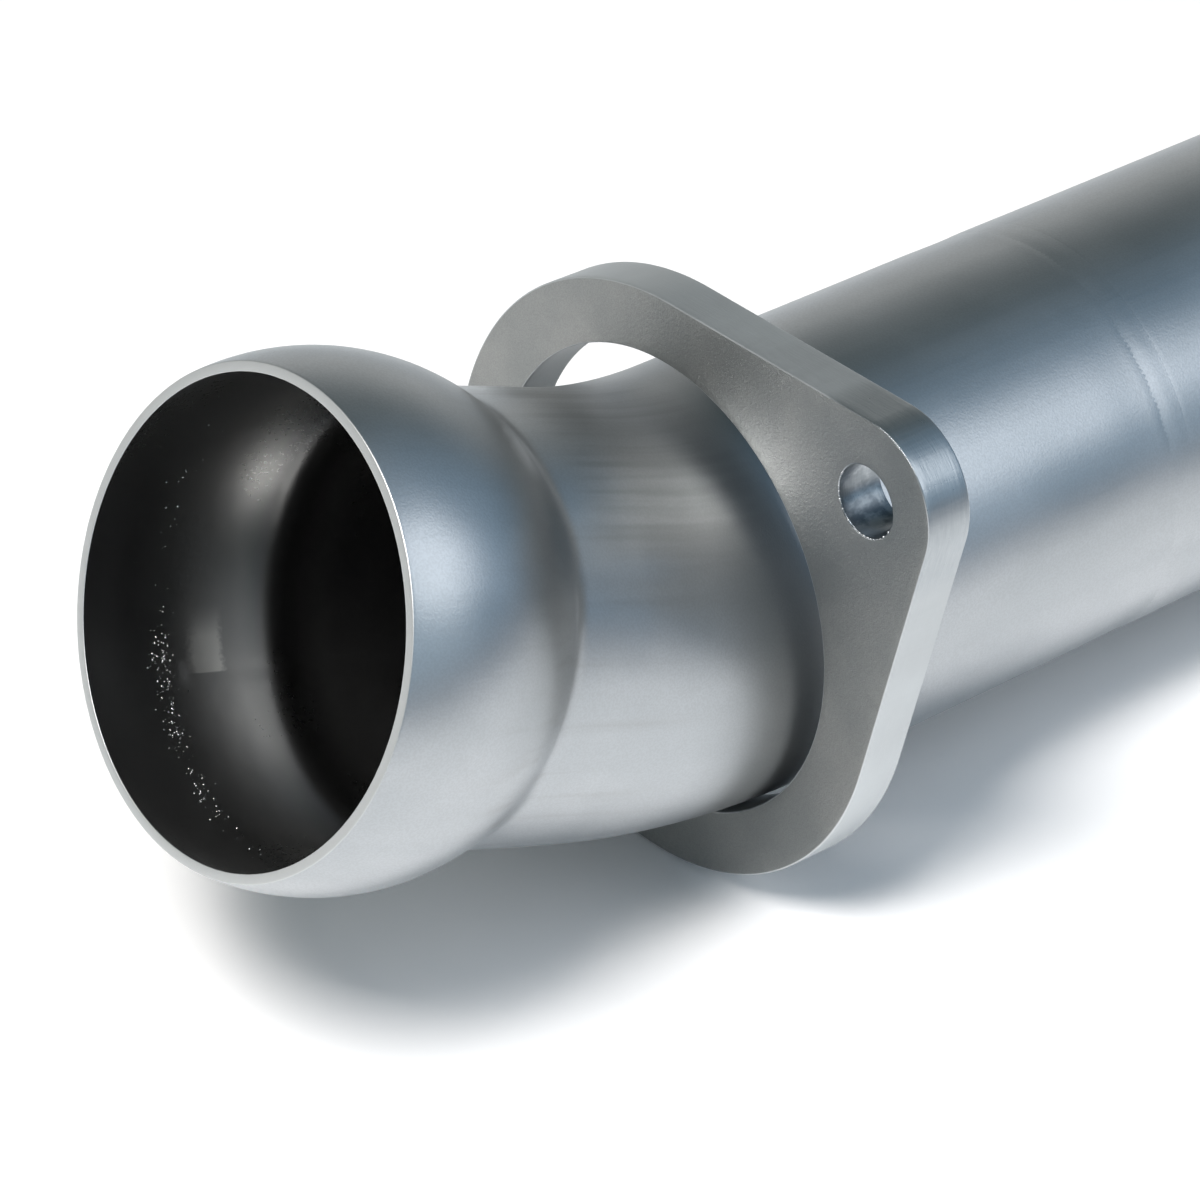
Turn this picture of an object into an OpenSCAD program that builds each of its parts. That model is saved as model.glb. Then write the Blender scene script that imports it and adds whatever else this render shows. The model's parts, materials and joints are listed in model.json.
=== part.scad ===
// Turbo downpipe: a thin-walled stainless tube with a swaged ball end, two bends and a
// loose two-bolt flange that is captive behind the ball. The pipe lies at rest on Z = 0,
// on the straight lower edge of the flange and on its tail. X runs along the straight
// stretch between the bends, and the origin is the middle of the footprint.

/* [Tube] */
// Outer diameter of the tube
tube_d = 76.2; // [60:0.1:90]
// Wall of the tube, the same all the way
wall = 1.65; // [1.2:0.05:3]
// Centre-line radius of both bends
bend_r = 114.3; // [95:0.1:180]
// Angle of the front bend, which lifts the ball end
front_angle = 22.2; // [15:0.1:35]
// Lean of the front bend out of the upright plane
front_roll = 2.7; // [0:0.1:8]
// Straight stretch from the front bend to the weld
front_straight = 72; // [50:1:160]
// Straight stretch from the weld to the rear bend
rear_straight = 170; // [80:1:300]
// Angle of the rear bend, which lies flat and steadies the pipe
rear_angle = 45; // [30:1:75]
// Straight tail after the rear bend, with a plain square-cut end
tail_length = 220; // [170:1:400]

/* [Ball end] */
// Height of the ball over the tube, all round
ball_rise = 6.05; // [4.5:0.05:9]
// Distance from the rim back to the centre of the ball
ball_depth = 15.5; // [10:0.5:20]
// Radius of the hollow where the ball runs into the neck
throat_r = 8; // [4:0.5:14]
// Distance from the rim to the start of the front bend
neck_length = 62; // [50:0.5:100]

/* [Weld] */
// Width of the weld through the wall
root_width = 3; // [2:0.1:5]
// Width of the crown on the outside
crown_width = 5.4; // [5.2:0.1:8]
// Height of the dressed crown over the tube
crown_height = 0.4; // [0.1:0.05:1]

/* [Loose flange] */
// Thickness of the flange plate
flange_t = 9; // [6:0.5:14]
// Play between the bore of the flange and the tube, all round
bore_play = 3.9; // [3:0.1:4.3]
// Breadth of plate between the bore and the outer edge
land = 11.5; // [8:0.5:16]
// Distance from the wall of the bore to the middle of each bolt hole
bolt_inset = 20.5; // [16:0.5:28]
// Diameter of the bolt holes
bolt_hole_d = 12.5; // [8.5:0.1:14]
// Breadth of plate round each bolt hole
ear_land = 8.5; // [6:0.25:10]
// Gap where the bore of the flange rests on the tube
seat_gap = 0.3; // [0.1:0.05:0.6]
// Distance along the tube from the middle of the flange to the end of the front bend
flange_distance = 11; // [6:0.5:18]
// Lean of the flange against the straight stretch
flange_lean = 2.6; // [0:0.1:5]
// Turn of the flange about the upright line
flange_yaw = 2.1; // [0:0.1:5]

/* [Hidden] */
$fn = 96;
tube_r = tube_d / 2;
ball_r = tube_r + ball_rise;
rim_r = sqrt(ball_r * ball_r - ball_depth * ball_depth);
bore_r = tube_r + bore_play;
hub_r = bore_r + land;
bolt_r = bolt_hole_d / 2;
ear_r = bolt_r + ear_land;
bolt_centre = bore_r + bolt_inset;
weld_at = front_straight;
rear_bend_at = front_straight + rear_straight;

// Angle between the line of the bolts and the foot of a straight side
side_angle = acos((hub_r - ear_r) / bolt_centre);

function pitched(v, a) = [v.x * cos(a) + v.z * sin(a), v.y, v.z * cos(a) - v.x * sin(a)];
function rolled(v, a) = [v.x, v.y * cos(a) - v.z * sin(a), v.y * sin(a) + v.z * cos(a)];

// How far a disc of radius r reaches along an axis that its normal meets with cosine n
function reach(n, r) = r * sqrt(1 - n * n);

// The flange hangs on the outside of the front bend. In the upright plane through the
// tube, with the end of the front bend as the origin, the middle of the flange starts on
// the centre line and is lifted along its own upright until its bore clears the tube.
bend_centre = [0, bend_r];
flange_angle = flange_distance / bend_r * 180 / PI;
flange_normal = [cos(flange_lean), -sin(flange_lean)];
flange_up = [sin(flange_lean), cos(flange_lean)];
on_line = bend_centre - bend_r * [sin(flange_angle), cos(flange_angle)];
half_t = flange_t / 2;
touch = max(-half_t, min(half_t, bend_r * sin(flange_angle - flange_lean)));
from_centre = on_line + touch * flange_normal - bend_centre;
clear_r = bend_r + tube_r + seat_gap;
up_part = from_centre * flange_up;
lift = bore_r - up_part - sqrt(up_part * up_part - from_centre * from_centre + clear_r * clear_r);
flange_middle = on_line + lift * flange_up;

// The pipe tips forward until both the flange and the tail touch the ground. Its pitch
// solves a * cos(pitch) + b * sin(pitch) = tube_r, the height of the tail's centre line.
to_tail = rear_bend_at + bend_r * tan(rear_angle / 2);
pitch_a = hub_r * cos(flange_lean) + half_t * sin(flange_lean) - flange_middle.y;
pitch_b = half_t * cos(flange_lean) - hub_r * sin(flange_lean) + flange_middle.x - to_tail;
pitch = atan2(pitch_b, pitch_a) + acos(tube_r / norm([pitch_a, pitch_b]));
// Roll of the rear bend that keeps the tail level
rear_roll = asin(tan(pitch) / tan(rear_angle));
// Height of the centre line at the end of the front bend
bend_end_z = tube_r + to_tail * sin(pitch);

// The footprint, seen from above with the end of the front bend at zero
front_plane = 90 + front_roll;
front_flat = [cos(front_angle), -sin(front_angle), 0];
bend_start_flat = bend_r * [-sin(front_angle), 1 - cos(front_angle), 0];
rim_centre = pitched(rolled(bend_start_flat - neck_length * front_flat, front_plane), pitch);
rim_axis = pitched(rolled(front_flat, front_plane), pitch);
rear_flat = [cos(rear_angle), sin(rear_angle), 0];
bend_end_flat = [rear_bend_at, 0, 0] + bend_r * [sin(rear_angle), 1 - cos(rear_angle), 0];
tail_end = pitched(rolled(bend_end_flat + tail_length * rear_flat, rear_roll), pitch);
tail_axis = pitched(rolled(rear_flat, rear_roll), pitch);
flange_at = pitched([flange_middle.x, 0, flange_middle.y], pitch);
flange_tilt = flange_lean + pitch;
flange_axis = [cos(flange_tilt) * cos(flange_yaw), cos(flange_tilt) * sin(flange_yaw), -sin(flange_tilt)];
ear_out = sin(side_angle) * cos(flange_yaw) - cos(side_angle) * sin(flange_tilt) * sin(flange_yaw);
ear_side = bolt_centre * ear_out + half_t * abs(flange_axis.y);
x_low = rim_centre.x - reach(rim_axis.x, rim_r);
x_high = tail_end.x + reach(tail_axis.x, tube_r);
y_low = flange_at.y - ear_side - reach(flange_axis.y, ear_r);
y_high = tail_end.y + reach(tail_axis.y, tube_r);

// Section of the tube
module ring() {
    difference() {
        circle(tube_r);
        circle(tube_r - wall);
    }
}

// Puts what is drawn from the end of the front bend into the resting pose
module at_rest() {
    translate([-(x_low + x_high) / 2, -(y_low + y_high) / 2, bend_end_z])
        rotate([0, pitch, 0])
            children();
}

// Stands a section that is drawn flat on the tube's own line, which runs along X
module across() {
    rotate([-90, 0, -90])
        children();
}

module straight(length) {
    across()
        linear_extrude(length)
            ring();
}

// A bend at the origin that turns from X towards Y. The first child leads up to it and the
// second one follows it, each drawn along X from the origin. Both are turned by half the
// angle, and the bend is cut by the plane of the first, so that all ends meet exactly.
module bent(angle) {
    spare = 5;
    cutter = 3.5 * bend_r;
    translate([0, bend_r, 0])
        rotate([0, 0, angle / 2]) {
            difference() {
                rotate([0, 0, angle / 2])
                    rotate_extrude(angle = angle + spare, start = -90 - angle - spare)
                        translate([bend_r, 0])
                            ring();
                rotate([0, 0, -angle / 2])
                    translate([-cutter, -cutter, -cutter / 2])
                        cube([cutter, 2 * cutter, cutter]);
            }
            rotate([0, 0, -angle / 2])
                translate([0, -bend_r, 0])
                    children(0);
            rotate([0, 0, angle / 2])
                translate([0, -bend_r, 0])
                    children(1);
        }
}

// Outline of the ball, its throat and the neck, with the skin moved in by inset. The throat
// is an arc that runs into the neck and bites a little into the ball, so that they cross.
module ball_outline(inset) {
    bite = 0.02;
    throat_x = tube_r + throat_r;
    throat_y = ball_depth + sqrt(pow(ball_r + throat_r - bite, 2) - pow(throat_x, 2));
    intersection() {
        union() {
            translate([0, ball_depth])
                circle(ball_r - inset);
            difference() {
                polygon([[0, ball_depth], [throat_x, throat_y], [0, throat_y]]);
                translate([throat_x, throat_y])
                    circle(throat_r + inset);
            }
            translate([0, ball_depth])
                square([tube_r - inset, neck_length - ball_depth]);
        }
        square([ball_r, neck_length]);
    }
}

module ball_end() {
    translate([-neck_length, 0, 0])
        across()
            rotate_extrude()
                difference() {
                    ball_outline(0);
                    ball_outline(wall);
                }
}

module front_tube() {
    color("silver")
        at_rest()
            rotate([front_plane, 0, 0])
                translate([0, bend_r, 0])
                    rotate([0, 0, -front_angle])
                        translate([0, -bend_r, 0])
                            bent(front_angle) {
                                ball_end();
                                straight(weld_at - root_width / 2);
                            }
}

// The weld fills the joint through the wall and stands a little proud outside
module weld_bead() {
    crown_r = (crown_width * crown_width / 4 + crown_height * crown_height) / (2 * crown_height);
    color("gray")
        at_rest()
            translate([weld_at, 0, 0])
                rotate([0, 90, 0])
                    rotate_extrude() {
                        translate([tube_r - wall, -root_width / 2])
                            square([wall, root_width]);
                        intersection() {
                            translate([tube_r + crown_height - crown_r, 0])
                                circle(crown_r);
                            translate([tube_r, -crown_width / 2])
                                square([2 * crown_height, crown_width]);
                        }
                    }
}

module rear_tube() {
    lead = rear_straight - root_width / 2;
    color("silver")
        at_rest()
            rotate([rear_roll, 0, 0])
                translate([rear_bend_at, 0, 0])
                    bent(rear_angle) {
                        translate([-lead, 0, 0])
                            straight(lead);
                        straight(tail_length);
                    }
}

// Diamond outline of the hub and two ears. The straight sides run a hair inside the arcs,
// so that they cross them instead of only touching.
module diamond() {
    inside = 0.01;
    hub_foot = (hub_r - inside) * [cos(side_angle), sin(side_angle)];
    ear_foot = [bolt_centre, 0] + (ear_r - inside) * [cos(side_angle), sin(side_angle)];
    circle(hub_r);
    for (side = [0, 180])
        rotate([0, 0, side]) {
            translate([bolt_centre, 0])
                circle(ear_r);
            polygon([[0, 0], [hub_foot.x, -hub_foot.y], [ear_foot.x, -ear_foot.y], ear_foot, hub_foot]);
        }
}

module loose_flange() {
    color("darkgray")
        at_rest()
            translate([flange_middle.x, 0, flange_middle.y])
                rotate([0, -pitch, 0])
                    rotate([0, flange_tilt, flange_yaw])
                        rotate([90, 0, 90])
                            rotate([0, 0, side_angle - 90])
                                translate([0, 0, -half_t])
                                    linear_extrude(flange_t)
                                        difference() {
                                            diamond();
                                            circle(bore_r);
                                            for (side = [-1, 1])
                                                translate([side * bolt_centre, 0])
                                                    circle(bolt_r);
                                        }
}

front_tube();
weld_bead();
rear_tube();
loose_flange();
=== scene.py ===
# %% [markdown]
# # A turbo downpipe in brushed steel
# The part is a thin-walled exhaust tube. One end is swaged into a ball, and a thick two-bolt
# flange hangs loose on the neck behind it. The CAD frame already has every size, so this
# lesson only dresses it: finer surfaces with worn edges, steel that looks drawn and handled,
# a white sweep to lie on, soft studio light and a long lens.

# %% Load the frame
import json

import bmesh
import bpy
import numpy as np

from mathutils import Matrix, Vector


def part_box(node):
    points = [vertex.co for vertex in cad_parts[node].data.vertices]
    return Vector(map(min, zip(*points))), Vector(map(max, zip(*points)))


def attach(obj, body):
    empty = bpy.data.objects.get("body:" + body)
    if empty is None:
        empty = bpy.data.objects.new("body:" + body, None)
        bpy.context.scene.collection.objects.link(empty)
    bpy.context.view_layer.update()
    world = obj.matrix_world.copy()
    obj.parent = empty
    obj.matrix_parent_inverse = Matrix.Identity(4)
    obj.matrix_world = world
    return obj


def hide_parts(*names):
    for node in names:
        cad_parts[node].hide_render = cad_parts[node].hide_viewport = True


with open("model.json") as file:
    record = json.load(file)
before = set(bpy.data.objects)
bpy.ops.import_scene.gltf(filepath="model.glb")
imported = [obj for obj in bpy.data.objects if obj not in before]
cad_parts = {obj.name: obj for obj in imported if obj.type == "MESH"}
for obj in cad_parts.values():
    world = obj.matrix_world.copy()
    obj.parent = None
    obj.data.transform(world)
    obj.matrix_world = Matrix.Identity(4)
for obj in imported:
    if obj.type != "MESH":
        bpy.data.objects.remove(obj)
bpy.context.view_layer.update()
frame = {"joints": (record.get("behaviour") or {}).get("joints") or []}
MM = 0.001

# %% [markdown]
# ## Where the pipe runs
# The pipe is drawn from a few workshop sizes: the tube, its wall, the radius of the bends and
# the lengths between them. Its tilt at rest isn't typed in. The weld sits on the straight
# stretch, so its height over the level tail gives the pitch, and the pitch gives the roll of
# the rear bend that keeps the tail level.

# %% Sizes of the pipe
TUBE_R = 38.1 * MM
WALL = 1.65 * MM
BEND_R = 114.3 * MM
FRONT_ANGLE = np.radians(22.2)
FRONT_ROLL = np.radians(2.7)
REAR_ANGLE = np.radians(45)
NECK = 62 * MM
FRONT_STRAIGHT = 72 * MM
REAR_STRAIGHT = 170 * MM
TAIL = 220 * MM
ROOT_WIDTH = 3 * MM

weld_low, weld_high = (np.array(corner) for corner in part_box("weld_bead"))
weld_middle = (weld_low + weld_high) / 2
pitch = np.arcsin((weld_middle[2] - TUBE_R) / (REAR_STRAIGHT + BEND_R * np.tan(REAR_ANGLE / 2)))
rear_roll = np.arcsin(np.tan(pitch) / np.tan(REAR_ANGLE))
print("pitch and rear roll, degrees:", np.degrees([pitch, rear_roll]).round(3))


# %% Turns and places
def turned_about_x(angle):
    """A turn about X: Y goes towards Z."""
    c, s = np.cos(angle), np.sin(angle)
    return np.array([[1, 0, 0], [0, c, -s], [0, s, c]])


def turned_about_y(angle):
    """A turn about Y: X goes down, away from Z."""
    c, s = np.cos(angle), np.sin(angle)
    return np.array([[c, 0, s], [0, 1, 0], [-s, 0, c]])


def turned_about_z(angle):
    """A turn about Z: X goes towards Y."""
    c, s = np.cos(angle), np.sin(angle)
    return np.array([[c, -s, 0], [s, c, 0], [0, 0, 1]])


tipped = turned_about_y(pitch)
bend_end = weld_middle - tipped @ [FRONT_STRAIGHT, 0, 0]
print("end of the front bend, mm:", (bend_end / MM).round(3))


# %% [markdown]
# ## A bent line and its skin
# A mandrel bend is an arc with a straight run before and after it. As a function of the
# length along it, the turn is that length over the bend's radius, held between nothing and
# the full angle, and whatever is left over goes straight on. A round skin then needs only
# two numbers: the place along the line and the angle round it.

# %% The line through a bend
def bent_line(along, lead, angle, first_turn, roll):
    """Points and directions on a line of one bend, each as an array of 3-vectors.

    The turn is (along - lead) / BEND_R, kept between 0 and angle, plus first_turn. The point
    is BEND_R * (sin, 1 - cos) of the turn, and the length outside the bend runs on straight.
    The flat line is rolled about X and tipped to its pitch. Places are counted from the end
    of the front bend.
    """
    bent = np.clip(along - lead, 0, BEND_R * angle)
    turn = bent / BEND_R + first_turn
    over = along - lead - bent
    sin, cos, none = np.sin(turn), np.cos(turn), np.zeros_like(turn)
    heading = np.stack([cos, sin, none], 1)
    inwards = np.stack([-sin, cos, none], 1)
    points = BEND_R * np.stack([sin, 1 - cos, none], 1) + over[:, None] * heading
    place = tipped @ turned_about_x(roll)
    return points @ place.T, heading @ place.T, inwards @ place.T


# %% A grid of points becomes a mesh
def grid_faces(rows, columns, close_rows, close_columns):
    """Quads between neighbours of a rows x columns grid, wrapped round where it is closed."""
    row = np.arange(rows if close_rows else rows - 1)
    column = np.arange(columns if close_columns else columns - 1)
    r, c = np.meshgrid(row, column, indexing="ij")
    r2, c2 = (r + 1) % rows, (c + 1) % columns
    near, far = r * columns, r2 * columns
    return np.stack([near + c, near + c2, far + c2, far + c], -1).reshape(-1, 4)


def make_piece(name, points, faces, attributes):
    """A smooth mesh object at the origin, from arrays of points and faces.

    Each attribute is a number or a 3-vector a point, kept on the mesh for its material.
    """
    mesh = bpy.data.meshes.new(name)
    mesh.vertices.add(len(points))
    mesh.vertices.foreach_set("co", np.ascontiguousarray(points, np.float32).ravel())
    mesh.loops.add(faces.size)
    mesh.loops.foreach_set("vertex_index", np.ascontiguousarray(faces, np.int32).ravel())
    mesh.polygons.add(len(faces))
    starts = np.arange(len(faces), dtype=np.int32) * faces.shape[1]
    mesh.polygons.foreach_set("loop_start", starts)
    mesh.update(calc_edges=True)
    mesh.polygons.foreach_set("use_smooth", np.ones(len(faces), bool))
    for label, values in attributes.items():
        kind, slot = ("FLOAT_VECTOR", "vector") if values.ndim == 2 else ("FLOAT", "value")
        kept = mesh.attributes.new(label, kind, "POINT")
        kept.data.foreach_set(slot, np.ascontiguousarray(values, np.float32).ravel())
    mesh.validate()
    piece = bpy.data.objects.new(name, mesh)
    bpy.context.collection.objects.link(piece)
    print(f"{name}: {len(points)} points, {len(faces)} faces")
    return piece


# %% [markdown]
# ## Small waves
# Tube that has been drawn, swaged and bent is never quite round. A few slow sine waves along
# and round it, with amplitudes under a tenth of a millimetre, are enough to make a reflection
# swim a little. They are summed from fixed numbers, so that each run gives the same pipe.

# %% Slow waves over the skin
WAVES = 8


def waves(along, around, seed, size, length):
    """The sum of eight waves, of height size in all, each about one length long.

    Wave number k is sin(pace * along + phase) * cos(k * around + lean): k lobes round the
    tube, with a pace, a phase and a lean of its own.
    """
    luck = np.random.default_rng(seed)
    total = np.zeros(np.broadcast(along, around).shape)
    for lobes in range(WAVES):
        pace = 2 * np.pi / (length * luck.uniform(0.6, 1.8))
        phase, lean = luck.uniform(0, 2 * np.pi, 2)
        total = total + np.sin(along * pace + phase) * np.cos(around * lobes + lean)
    return size * total / WAVES


def bell(distance, width):
    """1 in the middle and falling off smoothly either side: e to the -(distance / width)^2."""
    return np.exp(-((distance / width) ** 2))


# %% Outline of the ball end
BALL_RISE = 6.05 * MM
BALL_DEPTH = 15.5 * MM
THROAT_R = 8 * MM
BALL_R = TUBE_R + BALL_RISE
throat_middle = TUBE_R + THROAT_R
throat_end = BALL_DEPTH + np.sqrt((BALL_R + THROAT_R) ** 2 - throat_middle**2)


def ball_outline(along, inset):
    """Radius of the skin at a distance from the rim, moved in by inset.

    The ball is a circle about (BALL_DEPTH, 0) and the throat one about (throat_end,
    throat_middle) that touches it. After the throat the radius is the tube's.
    """
    ball = BALL_R - inset
    hollow = THROAT_R + inset
    touch = BALL_DEPTH + (throat_end - BALL_DEPTH) * ball / (BALL_R + THROAT_R)
    on_ball = np.sqrt(np.maximum(ball**2 - (along - BALL_DEPTH) ** 2, 0))
    in_throat = throat_middle - np.sqrt(np.maximum(hollow**2 - (throat_end - along) ** 2, 0))
    past_ball = np.where(along < throat_end, in_throat, TUBE_R - inset)
    return np.where(along < touch, on_ball, past_ball)


def plain_outline(along, inset):
    """Radius of a plain tube's skin, moved in by inset: the same all along."""
    return TUBE_R - inset + 0 * along


print("rim radius, mm:", round(float(ball_outline(np.array(0.0), 0)) / MM, 2))


# %% [markdown]
# ## A tube with two skins and two lips
# The wall is one closed outline that is carried round: out along the skin, over the far lip,
# back along the bore and over the near lip. Each lip has its corners eased a little, because
# a cut and deburred edge catches a thin line of light. The outline remembers where it is on
# the pipe and whether it is in the bore, for the steel to use.

# %% Eased corners
EASE = 0.22 * MM


def eased(start, corner, end, count=5):
    """Points of the curved corner between start and end: a parabola pulled towards corner."""
    t = np.linspace(0, 1, count)[:, None]
    start, corner, end = np.array(start), np.array(corner), np.array(end)
    return (1 - t) ** 2 * start + 2 * t * (1 - t) * corner + t**2 * end


def lip(along, inwards, radius):
    """Outline over a cut end, from the bore to the skin. Inwards is +1 or -1, into the tube."""
    back = along + inwards * EASE
    bore, skin = radius(along, WALL), radius(along, 0)
    bore_corner = eased([back, radius(back, WALL)], [along, bore], [along, bore + EASE])
    skin_corner = eased([along, skin - EASE], [along, skin], [back, radius(back, 0)])
    return np.concatenate([bore_corner, skin_corner])


# %% The outline of a tube
OUT_OF_BORE = [1, 0.8, 0.5, 0.2]
OVER_LIP = [0, 0.2, 0.7, 1, 1, 1, 1, 0.7, 0.2, 0]


def tube_outline(stations, radius):
    """Closed outline of (along, radius), 1 where it is in the bore and 1 on the cut ends.

    Both numbers fade over the lips.
    """
    near, far, clear = stations[0], stations[-1], EASE * 1.01
    between = stations[(stations > near + clear) & (stations < far - clear)]
    near_lip = lip(near, 1, radius)
    far_lip = lip(far, -1, radius)[::-1]
    skin = np.stack([between, radius(between, 0)], 1)
    bore = np.stack([between[::-1], radius(between[::-1], WALL)], 1)
    outline = np.concatenate([near_lip, skin, far_lip, bore])
    lip_start = len(near_lip) + len(skin)
    lip_end = lip_start + len(far_lip)
    in_bore, cut = np.zeros(len(outline)), np.zeros(len(outline))
    in_bore[:len(OUT_OF_BORE)] = OUT_OF_BORE
    in_bore[lip_end - len(OUT_OF_BORE):lip_end] = OUT_OF_BORE[::-1]
    in_bore[lip_end:] = 1
    cut[:len(OVER_LIP)] = cut[lip_start:lip_end] = OVER_LIP
    return outline, in_bore, cut


# %% The skin of a tube
AROUND = 224


def make_tube(name, marked_outline, line, start, dents):
    """Carries a closed outline, with its marks for the bore and the cut ends, round a line.

    A point is the line's point plus radius * (cos * inwards + sin * side) at its angle. Its
    place on the straightened pipe is kept as (start + along, radius * cos, radius * sin),
    where start is how far from the mouth this tube begins.
    """
    outline, in_bore, cut = marked_outline
    along, radius = outline[:, 0], outline[:, 1]
    around = np.linspace(0, 2 * np.pi, AROUND, endpoint=False)
    points, heading, inwards = line(along)
    side = np.cross(heading, inwards)
    cos, sin = np.cos(around), np.sin(around)
    grown = radius[:, None] + dents(along[:, None], around[None, :], in_bore[:, None])
    spokes = inwards[:, None] * cos[None, :, None] + side[:, None] * sin[None, :, None]
    skin = points[:, None] + grown[..., None] * spokes + bend_end
    from_mouth = np.broadcast_to(start + along[:, None], grown.shape)
    on_straight = np.stack([from_mouth, grown * cos, grown * sin], -1)
    faces = grid_faces(len(outline), AROUND, True, True)[:, ::-1]
    attributes = {
        "on_pipe": on_straight.reshape(-1, 3),
        "in_bore": np.repeat(in_bore, AROUND),
        "cut_edge": np.repeat(cut, AROUND),
    }
    return make_piece(name, skin.reshape(-1, 3), faces, attributes)


# %% [markdown]
# ## Dents, a seam and a shrunk joint
# The clamp of the swaging press has left a faint ring on the neck, the tube's own seam stands
# in the bore as a fine ridge, and heat has drawn the tube in beside the weld. Each is a bell
# curve, along the tube or round it, and is added to the radius before the skin is carried
# round, so that it bends with the pipe.

# %% Dents that both tubes share
# Rises, depths and widths along the pipe are in metres, turns and widths round it in radians.
SLOW_RISE = 0.10 * MM
SEAM_TURN = np.radians(229)
SEAM_RISE = 0.16 * MM
SEAM_WIDTH = 0.035
SHRINK_DEPTH = 0.13 * MM
SHRINK_WIDTH = 5.5 * MM
SHRINK_BEFORE_END = 3.5 * MM


def seam_ridge(around):
    """The ridge of the tube's own seam, which makes the bore's radius smaller: a bell."""
    return -SEAM_RISE * bell(around - SEAM_TURN, SEAM_WIDTH)


def weld_shrink(past_front):
    """How far heat has drawn the tube in, at a length past the front tube's end: a bell."""
    return SHRINK_DEPTH * bell(past_front + SHRINK_BEFORE_END, SHRINK_WIDTH)


print("seam at", np.degrees(SEAM_TURN).round(1), "degrees")
print("joint drawn in by", SHRINK_DEPTH / MM, "mm")

# %% The line and stations of the front tube
front_length = NECK + BEND_R * FRONT_ANGLE + FRONT_STRAIGHT - ROOT_WIDTH / 2
past_throat = throat_end + 2 * MM
past_bend = NECK + BEND_R * FRONT_ANGLE + 5 * MM
front_stations = np.unique(np.concatenate([
    np.linspace(0, past_throat, 72),
    np.linspace(past_throat, past_bend, 64),
    np.linspace(past_bend, front_length, 26),
]))


def front_line(along):
    """The neck, a bend that starts turned away and ends straight ahead, and the rest."""
    return bent_line(along, NECK, FRONT_ANGLE, -FRONT_ANGLE, np.pi / 2 + FRONT_ROLL)


print("front tube, mm:", round(front_length / MM, 2), "in", len(front_stations), "stations")

# %% The front tube, with its ball end
CLAMP_RISE = 0.07 * MM
CLAMP_WIDTH = 3.5 * MM
CLAMP_BEFORE_BEND = 8 * MM
CLAMP_TURN = 2.2
RIM_ROUGH = 0.05 * MM
RIM_DEPTH = 0.4 * MM
SEAM_START = 21 * MM


def front_dents(along, around, in_bore):
    """Slow waves, the clamp's ring, a rough sawn rim and the seam in the bore.

    The waves die out towards the weld, are a quarter as high at the rim and half as high in
    the bore. The roughness falls off with e to the -(distance from the rim / RIM_DEPTH).
    """
    ring = CLAMP_RISE * bell(along - NECK + CLAMP_BEFORE_BEND, CLAMP_WIDTH)
    clamp = ring * (0.6 + 0.4 * np.cos(around - CLAMP_TURN))
    rough = waves(along, around * 23, 8, RIM_ROUGH, 3 * MM) * np.exp(-along / RIM_DEPTH)
    clear_of_weld = np.clip((front_length - along) / (10 * MM), 0, 1)
    slow = waves(along, around, 3, SLOW_RISE, 60 * MM) * clear_of_weld
    dents = slow * np.clip(along / (10 * MM), 0.25, 1) + clamp + rough
    seam = seam_ridge(around) * np.clip((along - SEAM_START) / (2 * MM), 0, 1)
    shrunk = weld_shrink(along - front_length) * (1 - in_bore)
    return dents * (1 - 0.5 * in_bore) + seam * in_bore - shrunk


front_outline = tube_outline(front_stations, ball_outline)
front_pipe = make_tube("front_pipe", front_outline, front_line, 0, front_dents)
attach(front_pipe, "pipe")
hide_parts("front_tube")

# %% The line and stations of the rear tube
rear_lead = REAR_STRAIGHT - ROOT_WIDTH / 2
rear_length = rear_lead + BEND_R * REAR_ANGLE + TAIL
before_bend = rear_lead - 5 * MM
tail_start = rear_lead + BEND_R * REAR_ANGLE + 5 * MM
rear_stations = np.unique(np.concatenate([
    np.linspace(0, 10 * MM, 6),
    np.linspace(10 * MM, before_bend, 34),
    np.linspace(before_bend, tail_start, 56),
    np.linspace(tail_start, rear_length, 46),
]))
bend_to_bend = FRONT_STRAIGHT + REAR_STRAIGHT


def rear_line(along):
    """The straight run after the weld, the rear bend and the level tail."""
    points, heading, inwards = bent_line(along, rear_lead, REAR_ANGLE, 0, rear_roll)
    return points + tipped @ [bend_to_bend, 0, 0], heading, inwards


print("rear tube, mm:", round(rear_length / MM, 2), "in", len(rear_stations), "stations")

# %% The rear tube, with its plain tail
REAR_SUNK = 0.05 * MM


def rear_dents(along, around, in_bore):
    """Slow waves that die out at the weld, and the seam in the bore.

    The waves are sunk by half their height, so that the tail stays on the ground.
    """
    clear_of_weld = np.clip(along / (10 * MM), 0, 1)
    slow = waves(along, around, 5, SLOW_RISE, 80 * MM) * (1 - 0.5 * in_bore) - REAR_SUNK
    shrunk = weld_shrink(along + ROOT_WIDTH) * (1 - in_bore)
    return (slow + seam_ridge(around) * in_bore) * clear_of_weld - shrunk


rear_outline = tube_outline(rear_stations, plain_outline)
rear_start = front_length + ROOT_WIDTH
rear_pipe = make_tube("rear_pipe", rear_outline, rear_line, rear_start, rear_dents)
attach(rear_pipe, "pipe")
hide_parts("rear_tube")

# %% [markdown]
# ## The weld
# The two tubes are butted and fused, and the crown is dressed so nearly flush that only a
# soft band shows, where the heat has drawn the tube in by a tenth of a millimetre. The
# outline is a low arc over the joint, and slow ripples round it are what is left of the
# puddles. The arc's edges dive under the tube's skin, because an edge that stops on the skin
# would show as a thin lit line.

# %% The outline of the weld
CROWN_WIDTH = 5.4 * MM
CROWN_HEIGHT = 0.03 * MM
EDGE_SUNK = 0.02 * MM


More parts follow.
